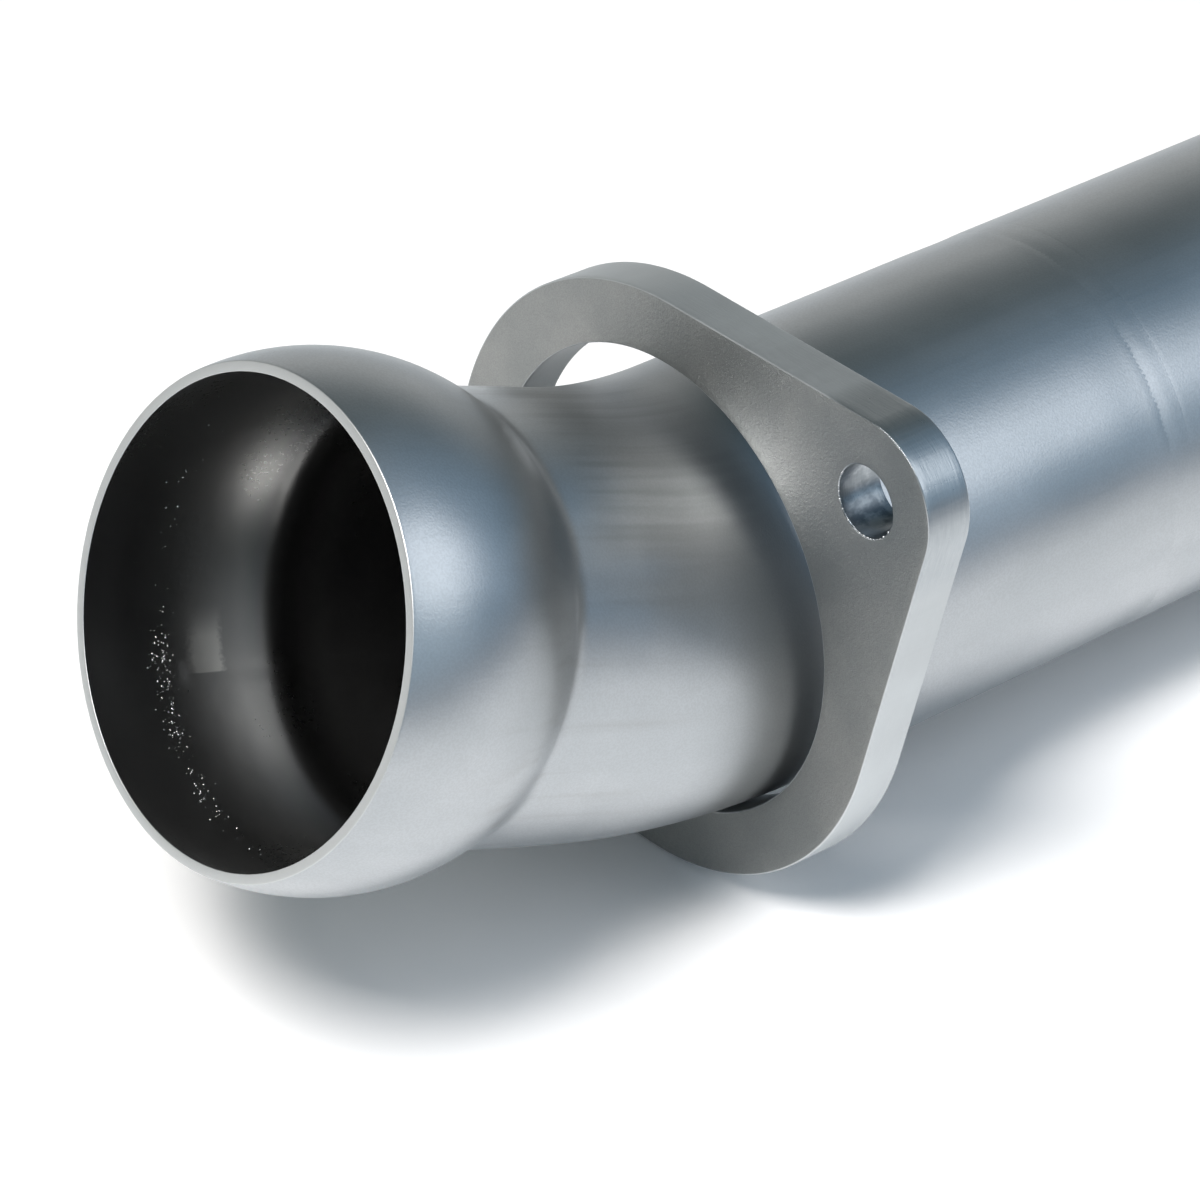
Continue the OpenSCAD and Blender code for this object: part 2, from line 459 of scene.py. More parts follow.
def weld_outline():
    """Closed outline of the ring: a flat crown outside, and the root's sides and bore.

    With t from -1 to 1 across the crown, its height is CROWN_HEIGHT * cos(90 degrees * t)^2,
    less EDGE_SUNK * t^30, which is nothing but close to the edges. The t are sines of even
    steps, so they are closest together there. It is marked as a tube's outline is.
    """
    t = np.sin(np.linspace(-np.pi / 2, np.pi / 2, 31))
    shrunk = TUBE_R - weld_shrink(ROOT_WIDTH / 2 + t * CROWN_WIDTH / 2)
    top = shrunk + CROWN_HEIGHT * np.cos(t * np.pi / 2) ** 2 - EDGE_SUNK * t**30
    crown = np.stack([t * CROWN_WIDTH / 2, top], 1)
    root = np.stack([-t * ROOT_WIDTH / 2, TUBE_R - WALL - 0 * t], 1)
    in_bore = np.concatenate([np.zeros(len(crown)), np.ones(len(root))])
    return np.concatenate([crown, root]), in_bore, 0 * in_bore


print("points over the crown and root:", len(weld_outline()[0]))

# %% The weld ring
PUDDLES = 40
RIPPLE_RISE = 0.005 * MM
LUMP_RISE = 0.02 * MM


def weld_line(along):
    """The straight line through the joint, counted from the middle of the weld."""
    points, heading, inwards = bent_line(along, BEND_R, 0, 0, 0)
    return points + tipped @ [BEND_R + FRONT_STRAIGHT, 0, 0], heading, inwards


def weld_ripples(along, around, in_bore):
    """Curved ripples of the puddles, dressed down to a hundredth of a millimetre, and lumps.

    A ripple is cos(PUDDLES * around + its curve). All of it fades to nothing at the edges.
    """
    curve = 3 * np.cos(along / CROWN_WIDTH * 3)
    ripple = RIPPLE_RISE * np.cos(around * PUDDLES + curve)
    lumps = waves(along, around, 9, LUMP_RISE, 9 * MM)
    return (ripple + lumps) * (1 - in_bore) * np.cos(along / CROWN_WIDTH * np.pi)


weld_start = front_length + ROOT_WIDTH / 2
weld_ring = make_tube("weld_ring", weld_outline(), weld_line, weld_start, weld_ripples)
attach(weld_ring, "pipe")
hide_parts("weld_bead")

# %% [markdown]
# ## The loose flange
# The flange is a thick laser-cut plate: a hub round the bore and two ears round the bolt
# holes, with straight sides that touch both. Seen from the middle of a hole, every direction
# meets the edge once, so a face is a set of straight rulings from a hole to the outline. A
# line between the bore and each bolt hole divides the plate into a hub and two ears.

# %% Sizes of the flange
PLATE_T = 9 * MM
BORE_R = 42 * MM
LAND = 11.5 * MM
BOLT_CENTRE = 62.5 * MM
BOLT_R = 6.25 * MM
EAR_LAND = 8.5 * MM
HUB_R = BORE_R + LAND
EAR_R = BOLT_R + EAR_LAND
PLATE_EASE = 0.3 * MM
DIVIDE = (BORE_R + BOLT_CENTRE - BOLT_R) / 2
side_angle = np.arccos((HUB_R - EAR_R) / BOLT_CENTRE)
joint = frame["joints"][0]
flange_middle = np.array(joint["pos_m"], float)
flange_axis = np.array(joint["axis"], float)
print("foot of the straight sides, degrees:", np.degrees(side_angle).round(2))


# %% The edge of the plate, seen from the middle of the bore and from a bolt hole
def rays(turn):
    """Directions in the plate's own plane: (cos, sin) of each turn."""
    return np.stack([np.cos(turn), np.sin(turn)], 1)


def from_bore(angle, inset):
    """Distance to the edge: the hub's arc, and past its foot the straight side.

    The side touches the arc, so it is the arc's radius over the cosine of the turn past it.
    """
    off_foot = np.maximum(side_angle - angle, 0)
    return (HUB_R - inset) / np.cos(off_foot)


def from_hole(angle, inset):
    """The same from a bolt hole: the ear's arc, and past its foot the straight side."""
    off_foot = np.maximum(np.abs(angle) - side_angle, 0)
    return (EAR_R - inset) / np.cos(off_foot)


def line_top(inset):
    """Height at which the dividing line meets the straight side."""
    return (HUB_R - inset - DIVIDE * np.cos(side_angle)) / np.sin(side_angle)


# %% Rulings of one half of the plate
# How many points lie on the dividing line, on each arc and on the straight sides.
SHARED = 33
ARC = 81
HUB_SIDE = 9
EAR_SIDE = 17


def half_rulings(inset):
    """Ends of the rulings of one hub half and one ear, with the edge's outward normals.

    On the dividing line both patches use the same points. The rulings run from angle to
    angle there, and elsewhere by even steps with the feet of the straight sides kept.
    """
    top = line_top(inset)
    divide = np.stack([np.full(SHARED, DIVIDE), np.linspace(-top, top, SHARED)], 1)
    corner = np.arctan2(top, DIVIDE)
    ear_corner = np.arctan2(top, DIVIDE - BOLT_CENTRE)
    hub_edge = np.concatenate([
        np.linspace(corner, side_angle, HUB_SIDE)[1:],
        np.linspace(side_angle, np.pi - side_angle, ARC)[1:],
        np.linspace(np.pi - side_angle, np.pi - corner, HUB_SIDE)[1:],
    ])
    mirrored = np.minimum(hub_edge, np.pi - hub_edge)
    hub_reach = from_bore(mirrored, inset)
    hub_turn = np.concatenate([np.arctan2(divide[:, 1], DIVIDE), hub_edge])
    hub_end = np.concatenate([divide, hub_reach[:, None] * rays(hub_edge)])
    hub_normal = np.clip(hub_edge, side_angle, np.pi - side_angle)
    ear_edge = np.concatenate([
        np.linspace(-ear_corner, -side_angle, EAR_SIDE),
        np.linspace(-side_angle, side_angle, ARC)[1:],
        np.linspace(side_angle, ear_corner, EAR_SIDE)[1:],
    ])
    ear_reach = from_hole(ear_edge, inset)
    ear_end = np.concatenate([
        ear_reach[:, None] * rays(ear_edge) + [BOLT_CENTRE, 0],
        divide[::-1][1:-1],
    ])
    ear_turn = np.arctan2(ear_end[:, 1], ear_end[:, 0] - BOLT_CENTRE)
    ear_normal = np.clip(ear_edge, -side_angle, side_angle)
    return hub_turn, hub_end, hub_normal, ear_turn, ear_end, ear_normal


# %% Patches of the plate
def around_hole(turn, centre, radius):
    """Points on a hole's wall at the given turns."""
    return radius * rays(turn) + [centre, 0]


def face_patch(inner, outer, height, rows):
    """Ruled surface: (1 - t) * inner + t * outer, level at height."""
    t = np.linspace(0, 1, rows)[:, None, None]
    flat = (1 - t) * inner[None] + t * outer[None]
    return np.concatenate([flat, np.full(flat.shape[:2] + (1,), height)], 2)


def wall_profile():
    """(inset, height) over the edge of the plate, from the back face to the front face."""
    half, ease = PLATE_T / 2, PLATE_EASE
    low = eased([ease, -half], [0, -half], [0, -half + ease])
    high = eased([0, half - ease], [0, half], [ease, half])
    heights = np.linspace(-half, half, 7)[1:-1]
    return np.concatenate([low, np.stack([0 * heights, heights], 1), high])


def wall_patch(edge, outwards):
    """Carries the wall profile along an edge. The edge's points stand at the full inset."""
    inset, height = wall_profile().T
    moved = edge[None] + (PLATE_EASE - inset)[:, None, None] * outwards[None]
    heights = np.broadcast_to(height[:, None, None], moved.shape[:2] + (1,))
    return np.concatenate([moved, heights], 2)


# %% The whole plate in its own plane
def plate_patches():
    """Grids of one half of the plate; the other half is the same, turned by half a turn."""
    hub_turn, hub_end, hub_normal, ear_turn, ear_end, ear_normal = half_rulings(PLATE_EASE)
    bore = around_hole(hub_turn, 0, BORE_R + PLATE_EASE)
    hole = around_hole(ear_turn, BOLT_CENTRE, BOLT_R + PLATE_EASE)
    closed_hole, closed_ear = np.vstack([hole, hole[:1]]), np.vstack([ear_end, ear_end[:1]])
    hole_turn = np.append(ear_turn, ear_turn[0])
    patches = []
    for side in (1, -1):
        height = side * PLATE_T / 2
        patches.append(face_patch(bore, hub_end, height, 9)[::side])
        patches.append(face_patch(closed_hole, closed_ear, height, 7)[::side])
    hub_rim = hub_end[SHARED - 1:]
    ear_rim = ear_end[:len(ear_normal)]
    patches.append(wall_patch(hub_rim, rays(np.append(side_angle, hub_normal)))[::-1])
    patches.append(wall_patch(ear_rim, rays(ear_normal))[::-1])
    patches.append(wall_patch(bore, -rays(hub_turn)))
    patches.append(wall_patch(closed_hole, -rays(hole_turn)))
    return patches


# %% The plate's own place in the frame
plate_tilt = np.arcsin(-flange_axis[2])
plate_yaw = np.arctan2(flange_axis[1], flange_axis[0])
flat_to_plate = turned_about_z(plate_yaw) @ turned_about_y(plate_tilt)
stood_up = np.array([[0, 0, 1], [1, 0, 0], [0, 1, 0]])
plate_turn = flat_to_plate @ stood_up @ turned_about_z(side_angle - np.pi / 2)
print("plate axis against the joint's:", np.round(plate_turn @ [0, 0, 1] - flange_axis, 6))


# %% Make the flange
def close_seams(piece):
    """Merges points that lie on one another, so that the patches become one closed shell."""
    shell = bmesh.new()
    shell.from_mesh(piece.data)
    before = len(shell.verts)
    bmesh.ops.remove_doubles(shell, verts=shell.verts, dist=0.002 * MM)
    open_edges = sum(edge.is_boundary for edge in shell.edges)
    print(f"{piece.name}: merged {before - len(shell.verts)} points, {open_edges} open edges")
    shell.to_mesh(piece.data)
    shell.free()


def make_flange():
    """Joins the patches of both halves, closes their seams and places the plate."""
    points, quads, count = [], [], 0
    for turned in (1, -1):
        for grid in plate_patches():
            rows, columns = grid.shape[:2]
            points.append(grid.reshape(-1, 3) * [turned, turned, 1])
            quads.append(grid_faces(rows, columns, False, False)[:, ::-1] + count)
            count += rows * columns
    flat = np.concatenate(points)
    on_face = np.abs(flat[:, 2]) > PLATE_T / 2 - 0.01 * MM
    attributes = {"on_plate": flat, "cut_edge": np.where(on_face, 0.0, 1.0)}
    placed = flat @ plate_turn.T + flange_middle
    plate = make_piece("flange_plate", placed, np.concatenate(quads), attributes)
    close_seams(plate)
    return plate


flange_plate = make_flange()
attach(flange_plate, "flange")
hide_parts("loose_flange")

# %% [markdown]
# ## Spatter and burrs
# Small things tell the eye how big the part is. The swage has left a line of bright beads in
# the mouth, the drill a ragged burr round the bolt hole, and the cutter a few crumbs on the
# plate's edge. All of them are one small ball, repeated with its own place and size, and sunk
# into the surface that carries it.

# %% Many small balls in one piece
def make_beads(name, centres, sizes):
    """A piece of balls: centre + size * (a point of the unit ball), for all of them at once."""
    shell = bmesh.new()
    bmesh.ops.create_icosphere(shell, subdivisions=1, radius=1)
    ball = np.array([vertex.co[:] for vertex in shell.verts])
    triangles = np.array([[vertex.index for vertex in face.verts] for face in shell.faces])
    shell.free()
    points = centres[:, None] + ball[None] * sizes[:, None, None]
    faces = triangles[None] + (np.arange(len(centres)) * len(ball))[:, None, None]
    return make_piece(name, points.reshape(-1, 3), faces.reshape(-1, 3), {})


# %% Beads in the mouth
def on_bore(along, around, sunk):
    """Points on the front tube's bore, at a distance from the rim and an angle.

    As on the skin, each is the line's point plus radius * (cos * inwards + sin * side), and
    the radius is the bore's plus how far it is sunk.
    """
    middle, heading, inwards = front_line(along)
    side = np.cross(heading, inwards)
    spokes = inwards * np.cos(around)[:, None] + side * np.sin(around)[:, None]
    return middle + (ball_outline(along, WALL) + sunk)[:, None] * spokes + bend_end


BEADS = 260
CLUMPS = [-128, -143, -163]
CLUMP_SHARES = [0.35, 0.4, 0.25]
IN_CLUMPS = 0.75
BEAD_LINE = 18.3 * MM
BEAD_SMALL = 0.07 * MM
BEAD_GROWTH = 0.20 * MM

luck = np.random.default_rng(21)
clump_turn = luck.choice(CLUMPS, BEADS, p=CLUMP_SHARES) + luck.normal(0, 5, BEADS)
stray_turn = luck.uniform(-200, -50, BEADS)
bead_turn = np.radians(np.where(luck.random(BEADS) < IN_CLUMPS, clump_turn, stray_turn))
bead_along = BEAD_LINE + luck.normal(0, 1.3 * MM, BEADS)
bead_size = BEAD_SMALL + BEAD_GROWTH * luck.random(BEADS) ** 2.5
bead_place = on_bore(bead_along, bead_turn, 0.3 * bead_size)
mouth_beads = make_beads("mouth_beads", bead_place, bead_size)
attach(mouth_beads, "pipe")

# %% Places of the burrs
BURR_SUNK = 0.08 * MM


def around_front(radius, turns):
    """Places on the front face round the seen bolt hole's middle, sunk a little, in the frame.

    In the plate's own plane a place is (radius * cos - BOLT_CENTRE, radius * sin).
    """
    across = -BOLT_CENTRE + radius * np.cos(turns)
    height = np.full(len(turns), BURR_SUNK - PLATE_T / 2)
    flat = np.stack([across, radius * np.sin(turns), height], 1)
    return flat @ plate_turn.T + flange_middle


ragged_turn = np.radians(luck.uniform(-62, 72, 60))
crumb_turn = np.radians(luck.uniform(-97, -60, 26))
drop_turn = np.radians([-98, -113])
lifted_turn = np.pi - np.radians(np.linspace(9, 43, 46))
print("burrs, crumbs, drops and lifted line:",
      [len(turns) for turns in (ragged_turn, crumb_turn, drop_turn, lifted_turn)])

# %% Burrs on the flange
burr_place = np.concatenate([
    around_front(BOLT_R + 0.06 * MM, ragged_turn),
    around_front(BOLT_R + 0.15 * MM, crumb_turn),
    around_front(BOLT_R + 0.10 * MM, drop_turn),
    around_front(EAR_R - 0.10 * MM, lifted_turn),
])
burr_size = np.concatenate([
    0.07 + 0.20 * luck.random(len(ragged_turn)) ** 3,
    0.06 + 0.06 * luck.random(len(crumb_turn)),
    [0.26, 0.24],
    0.10 + 0.03 * luck.random(len(lifted_turn)),
]) * MM
flange_burrs = make_beads("flange_burrs", burr_place, burr_size)
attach(flange_burrs, "flange")

# %% [markdown]
# ## Steel
# All the finishes are one metal seen in different states, so they share one way of writing
# shader maths: a small class holds a socket, and adding or multiplying two of them adds the
# Math node. Whatever changes over the surface ends in colour, roughness or bump.

# %% Shader maths
class Value:
    """A number that changes over the surface, with the usual signs for maths."""

    def __init__(self, tree, socket):
        self.tree, self.socket = tree, socket

    def maths(self, operation, first, second):
        """A Math node on two numbers, each a value of the surface or plain."""
        node = self.tree.nodes.new("ShaderNodeMath")
        node.operation = operation
        for slot, given in zip(node.inputs, (first, second)):
            if isinstance(given, Value):
                self.tree.links.new(given.socket, slot)
            else:
                slot.default_value = given
        return Value(self.tree, node.outputs[0])

    def __add__(self, other):
        return self.maths("ADD", self, other)

    def __sub__(self, other):
        return self.maths("SUBTRACT", self, other)

    def __rsub__(self, other):
        return self.maths("SUBTRACT", other, self)

    def __mul__(self, other):
        return self.maths("MULTIPLY", self, other)

    __radd__ = __add__
    __rmul__ = __mul__

    def ramp(self, low, high):
        """0 below low, 1 above high and smooth between them."""
        node = self.tree.nodes.new("ShaderNodeMapRange")
        node.interpolation_type = "SMOOTHSTEP"
        node.inputs["From Min"].default_value = low
        node.inputs["From Max"].default_value = high
        self.tree.links.new(self.socket, node.inputs["Value"])
        return Value(self.tree, node.outputs["Result"])

    def band(self, rise, fall):
        """1 in a band: a ramp up over the range rise times a ramp down over the range fall."""
        return self.ramp(*rise) * (1 - self.ramp(*fall))


# %% Nodes by type
class Shading:
    """Nodes made by type, with their settings and the values or links of their inputs."""

    def __init__(self, tree):
        self.tree = tree

    def node(self, kind, settings=None, output=0, **inputs):
        """Adds one node. An input's name is the socket's, or _ and its number."""
        made = self.tree.nodes.new("ShaderNode" + kind)
        for label, setting in (settings or {}).items():
            setattr(made, label, setting)
        for label, given in inputs.items():
            slot = made.inputs[int(label[1:]) if label[0] == "_" else label.replace("_", " ")]
            if isinstance(given, Value):
                self.tree.links.new(given.socket, slot)
            else:
                slot.default_value = given
        return Value(self.tree, made.outputs[output])

    def attribute(self, label, output):
        """A number ("Fac") or a place ("Vector") that the mesh carries."""
        return self.node("Attribute", {"attribute_name": label}, output)

    def part(self, place, axis):
        """One of a place's three numbers: "X", "Y" or "Z"."""
        return self.node("SeparateXYZ", None, axis, Vector=place)

    def reach(self, place, direction):
        """How far a place lies in a direction: their dot product."""
        dot = {"operation": "DOT_PRODUCT"}
        return self.node("VectorMath", dot, "Value", _0=place, _1=direction)

    def stretched(self, place, scale):
        """A place multiplied axis by axis: a pattern on it is long where scale is small."""
        return self.node("VectorMath", {"operation": "MULTIPLY"}, _0=place, _1=scale)

    def noise(self, place, scale, detail=2.0, roughness=0.5):
        """Soft noise from 0 to 1, with about scale lumps to a metre."""
        settings = {"Scale": scale, "Detail": detail, "Roughness": roughness}
        return self.node("TexNoise", Vector=place, **settings)

    def mix(self, mask, first, second):
        """A colour between two colours, or between two links of colours."""
        return self.node("Mix", {"data_type": "RGBA"}, 2, _0=mask, _6=first, _7=second)

    def bump(self, height, distance, strength=1.0, under=None):
        """A bump that lies on the one under it, where there is one."""
        inputs = {"Height": height, "Distance": distance, "Strength": strength}
        if under is not None:
            inputs["Normal"] = under
        return self.node("Bump", **inputs)


# %% A material and its shader
class Finish(Shading):
    """A material with its Principled shader. Constants go on the shader's own sockets."""

    def __init__(self, name, constants=None):
        self.material = bpy.data.materials.new(name)
        self.material.use_nodes = True
        super().__init__(self.material.node_tree)
        self.shader = self.tree.nodes["Principled BSDF"]
        for label, number in (constants or {}).items():
            self.shader.inputs[label].default_value = number

    def set(self, label, given):
        """Lets something that changes over the surface feed one of the shader's inputs."""
        self.tree.links.new(given.socket, self.shader.inputs[label])

    def done(self):
        """Prints how many nodes the material has, and returns it."""
        print(f"{self.material.name}: {len(self.tree.nodes)} nodes")
        return self.material


# %% [markdown]
# ## The skin of the tube
# The steel is pickled and drawn. Die marks run along the pipe and follow its bends, so they
# are noise on the place that each point has on the straightened pipe, stretched lengthwise.
# Fine grain on top breaks up the reflections into a satin sparkle. The swage has stained the
# throat and smeared the neck, mostly on the upper side, and a grey band of painted shade lies
# where the neck runs into the flange. The bore is dull, with painted highlights in the throat
# and by the seam, and painted shade deeper in.

# %% Colours and zones of the tube
STEEL = (0.60, 0.61, 0.625, 1)
STEEL_DULL = (0.53, 0.545, 0.56, 1)
SWAGE_STAIN = (0.33, 0.32, 0.31, 1)
# One dark colour serves the throat's stain, the neck's smears and the painted shade by the
# flange.
STAIN_AND_FLANGE_SHADE = (0.25, 0.26, 0.265, 1)
# Painted shade, deeper in the bore.
BORE_SHADE = (0.20, 0.20, 0.20, 1)
BORE_DARK = (0.40, 0.40, 0.40, 1)
# A pale colour that paints the lamps' highlights in the bore.
BORE_PAINTED_HIGHLIGHT = (0.88, 0.87, 0.84, 1)
CUT_GREY = (0.74, 0.74, 0.73, 1)

# Distances from the rim over which a zone comes and goes.
SWAGED = (12 * MM, 36 * MM), (40 * MM, 80 * MM)
THROAT = (16 * MM, 31 * MM), (35.5 * MM, 41 * MM)
NECK_TOP = (40 * MM, 50 * MM), (80 * MM, 100 * MM)
# This zone is painted shade, where the neck runs into the flange.
FLANGE_SHADE_ZONE = (68 * MM, 88 * MM), (104 * MM, 118 * MM)
# The next two zones are where the bore's painted highlights lie.
BORE_HIGHLIGHT_BAND = (19 * MM, 27 * MM), (36 * MM, 50 * MM)
HIGHLIGHT_PATCH_EDGE = (23 * MM, 26 * MM), (29 * MM, 30.5 * MM)

# Directions across the straightened pipe.
STAINED_SIDE = (0, np.cos(np.radians(10)), np.sin(np.radians(10)))
AT_SEAM = (0, np.cos(SEAM_TURN), np.sin(SEAM_TURN))
PAST_SEAM = (0, -np.sin(SEAM_TURN), np.cos(SEAM_TURN))

GRAIN_DEPTH = 0.03 * MM
# The darker stretch runs from the throat's stain to the painted shade by the flange.
print("stained from the rim, mm:", round(THROAT[0][0] / MM), "to", round(FLANGE_SHADE_ZONE[1][1] / MM))


# %% Patterns of the tube
class TubeFinish(Finish):
    """A finish of the tube, with the attributes and the patterns that its colours share.

    The marks are long, the clouds and grains are round, and patchy is stretched a little
    round the pipe.
    """

    def __init__(self, name):
        super().__init__(name, {"Metallic": 1.0})
        self.place = self.attribute("on_pipe", "Vector")
        self.bore = self.attribute("in_bore", "Fac")
        self.cut = self.attribute("cut_edge", "Fac")
        self.from_mouth = self.part(self.place, "X")
        self.die_marks = self.noise(self.stretched(self.place, (9, 700, 700)), 1.0, 3.0, 0.6)
        self.wide_marks = self.noise(self.stretched(self.place, (5, 110, 110)), 1.0, 2.0)
        self.clouds = self.noise(self.place, 38.0, 3.0, 0.55)
        self.grain = self.noise(self.place, 2600.0, 1.0)
        self.coarse_grain = self.noise(self.place, 1500.0, 2.0)
        patches = self.noise(self.stretched(self.place, (60, 26, 26)), 1.0, 3.0)
        self.patchy = patches.ramp(0.36, 0.66)


# %% Colour of the skin
def skin_colour(steel):
    """Cloudy steel with dark grain, streaks and stains, and painted shade where the neck runs
    into the flange, each laid over the one before.
    """
    worn = (steel.wide_marks * 0.35 + steel.clouds * 0.65).ramp(0.36, 0.66)
    colour = steel.mix(worn, STEEL_DULL, STEEL)
    colour = steel.mix(steel.grain.ramp(0.38, 0.62) * 0.14, colour, SWAGE_STAIN)
    streaks = steel.noise(steel.stretched(steel.place, (11, 290, 290)), 1.0, 2.0, 0.55)
    swaged = streaks.ramp(0.50, 0.80) * steel.from_mouth.band(*SWAGED) * 0.45
    colour = steel.mix(swaged, colour, SWAGE_STAIN)
    upper = steel.reach(steel.place, STAINED_SIDE)
    throat = steel.from_mouth.band(*THROAT) * upper.ramp(-6 * MM, 28 * MM)
    colour = steel.mix(throat * (0.50 + steel.clouds * 0.6), colour, STAIN_AND_FLANGE_SHADE)
    neck_top = steel.from_mouth.band(*NECK_TOP) * upper.ramp(26 * MM, 36 * MM)
    smears = neck_top * (0.18 + streaks.ramp(0.40, 0.64) * 0.28)
    colour = steel.mix(smears, colour, STAIN_AND_FLANGE_SHADE)
    # Painted shade: the neck goes darker where it runs into the flange's bore.
    return steel.mix(steel.from_mouth.band(*FLANGE_SHADE_ZONE) * 0.68, colour, STAIN_AND_FLANGE_SHADE)


# %% Colour of the bore
def bore_colour(steel):
    """Dark, with painted highlights in patches in the throat and raggedly by the seam, and
    painted shade further in.
    """
    at_seam = steel.reach(steel.place, AT_SEAM)
    past_seam = steel.reach(steel.place, PAST_SEAM)
    by_seam = at_seam.ramp(20 * MM, 30 * MM) * past_seam.band((0, 0.4 * MM), (4 * MM, 12 * MM))
    ragged = steel.from_mouth + steel.coarse_grain * (1.2 * MM)
    # Painted highlight: a bright patch by the seam, with a ragged edge.
    seam_highlight = by_seam * ragged.band(*HIGHLIGHT_PATCH_EDGE) * (0.6 + steel.clouds)
    painted_highlight = steel.from_mouth.band(*BORE_HIGHLIGHT_BAND) * (0.04 + steel.patchy * 0.36) + seam_highlight
    colour = steel.mix(painted_highlight, BORE_DARK, BORE_PAINTED_HIGHLIGHT)
    # Painted shade: the bore goes black from about 28 mm in, sooner on the seam's side, and
    # fades out past 40 mm.
    edge = steel.from_mouth - at_seam.ramp(10 * MM, 40 * MM) * (4 * MM)
    fades = 1 - steel.from_mouth.ramp(40 * MM, 50 * MM)
    return steel.mix(edge.ramp(27.5 * MM, 34.5 * MM) * fades, colour, BORE_SHADE)


# %% Steel of the tube and its weld
def tube_finish(name):
    """Satin outside and duller in the bore, with pale cut ends, die marks and grain."""
    steel = TubeFinish(name)
    colour = steel.mix(steel.bore, skin_colour(steel), bore_colour(steel))
    steel.set("Base Color", steel.mix(steel.cut, colour, CUT_GREY))
    satin = 0.25 + steel.die_marks * 0.05 + steel.clouds * 0.06 + steel.grain * 0.06
    dull = 0.28 + steel.patchy * -0.05 + steel.coarse_grain * 0.10
    gloss = satin * (1 - steel.bore) + dull * steel.bore
    steel.set("Roughness", gloss * (1 - steel.cut) + steel.cut * 0.52)
    drawn = steel.die_marks * 0.5 + steel.wide_marks * 0.25
    texture = (steel.grain + steel.coarse_grain * 0.4) * (1 - steel.bore * 0.8)
    marks = steel.bump(drawn, GRAIN_DEPTH, 0.5)
    steel.set("Normal", steel.bump(texture, GRAIN_DEPTH, 0.55, under=marks))
    return steel.done()


tube_steel = tube_finish("drawn_steel")
for piece in (front_pipe, rear_pipe):
    piece.data.materials.append(tube_steel)
weld_ring.data.materials.append(tube_finish("dressed_weld"))

# %% [markdown]
# ## The plate
# The faces of the flange are the mill's: warm grey, matte, with a sandy grain. Its edges are
# cut and dressed, smoother and paler, with fine lines through the thickness. The beads and
# burrs are bare torn metal, bright and clean.

# %% Colours of the plate
FACE_WARM = (0.425, 0.42, 0.405, 1)
FACE_DARK = (0.355, 0.36, 0.35, 1)
FACE_SPECK = (0.20, 0.20, 0.20, 1)
EDGE_PALE = (0.69, 0.705, 0.71, 1)
EDGE_GREY = (0.63, 0.64, 0.645, 1)
EDGE_WORN = (0.33, 0.36, 0.39, 1)
DRILLED_DARK = (0.10, 0.12, 0.14, 1)
SAND_DEPTH = 0.07 * MM
SCRATCH_DEPTH = 0.05 * MM


# %% Patterns of the plate
class PlateFinish(Finish):
    """A finish of the plate, with its attributes, patterns and how far the seen hole is."""

    def __init__(self, name):
        super().__init__(name, {"Metallic": 1.0})
        self.place = self.attribute("on_plate", "Vector")
        self.edge = self.attribute("cut_edge", "Fac")
        self.sand = self.noise(self.place, 1900.0, 2.0, 0.6)
        self.fine = self.noise(self.place, 5200.0, 1.0)
        self.clouds = self.noise(self.place, 45.0, 3.0)
        self.cut_lines = self.noise(self.stretched(self.place, (1500, 1500, 60)), 1.0, 2.0)
        scratched = self.stretched(self.place, (260, 260, 2600))
        self.scratches = self.noise(scratched, 1.0, 3.0, 0.7)
        in_plane = self.stretched(self.place, (1, 1, 0))
        self.from_hole = self.node("VectorMath", {"operation": "DISTANCE"}, "Value",
                                   _0=in_plane, _1=(-BOLT_CENTRE, 0, 0))
        self.on_ear = 1 - self.from_hole.ramp(EAR_R + 0.5 * MM, EAR_R + 4 * MM)


# %% Steel of the plate
def edge_colour(steel):
    """Pale cut steel, scratched dark on the ear, and dark in the hole: darker in its lower
    half, and smeared.
    """
    drilled = 1 - steel.from_hole.ramp(BOLT_R + 0.4 * MM, BOLT_R + 0.9 * MM)
    smears = steel.noise(steel.stretched(steel.place, (330, 330, 210)), 1.0, 3.0, 0.65)
    low = 1 - steel.part(steel.place, "Y").ramp(-3 * MM, 3 * MM)
    colour = steel.mix(steel.clouds.ramp(0.3, 0.7), EDGE_GREY, EDGE_PALE)
    colour = steel.mix(steel.on_ear * (0.15 + steel.scratches * 0.5), colour, EDGE_WORN)
    dark = drilled * (low * 0.55 + smears.ramp(0.42, 0.62) * 0.4)
    return steel.mix(dark, colour, DRILLED_DARK)


def plate_finish(name):
    """Warm sandy faces with dark specks, and edges with lines through the thickness."""
    steel = PlateFinish(name)
    face = steel.mix(steel.clouds.ramp(0.35, 0.65), FACE_DARK, FACE_WARM)
    face = steel.mix(steel.fine.ramp(0.38, 0.62) * 0.25, face, FACE_SPECK)
    steel.set("Base Color", steel.mix(steel.edge, face, edge_colour(steel)))
    matte = 0.40 + steel.sand * 0.12
    dressed = 0.36 - steel.on_ear * 0.17 + steel.cut_lines * 0.08 + steel.scratches * 0.16
    steel.set("Roughness", matte * (1 - steel.edge) + dressed * steel.edge)
    sandy = steel.bump((steel.sand + steel.fine * 0.6) * (1 - steel.edge), SAND_DEPTH, 0.8)
    lines = (steel.cut_lines * 0.4 + steel.scratches) * steel.edge
    steel.set("Normal", steel.bump(lines, SCRATCH_DEPTH, 0.7, under=sandy))
    return steel.done()


flange_plate.data.materials.append(plate_finish("mill_plate"))

# %% Torn metal of the beads and burrs
TORN_METAL = (0.86, 0.86, 0.84, 1)


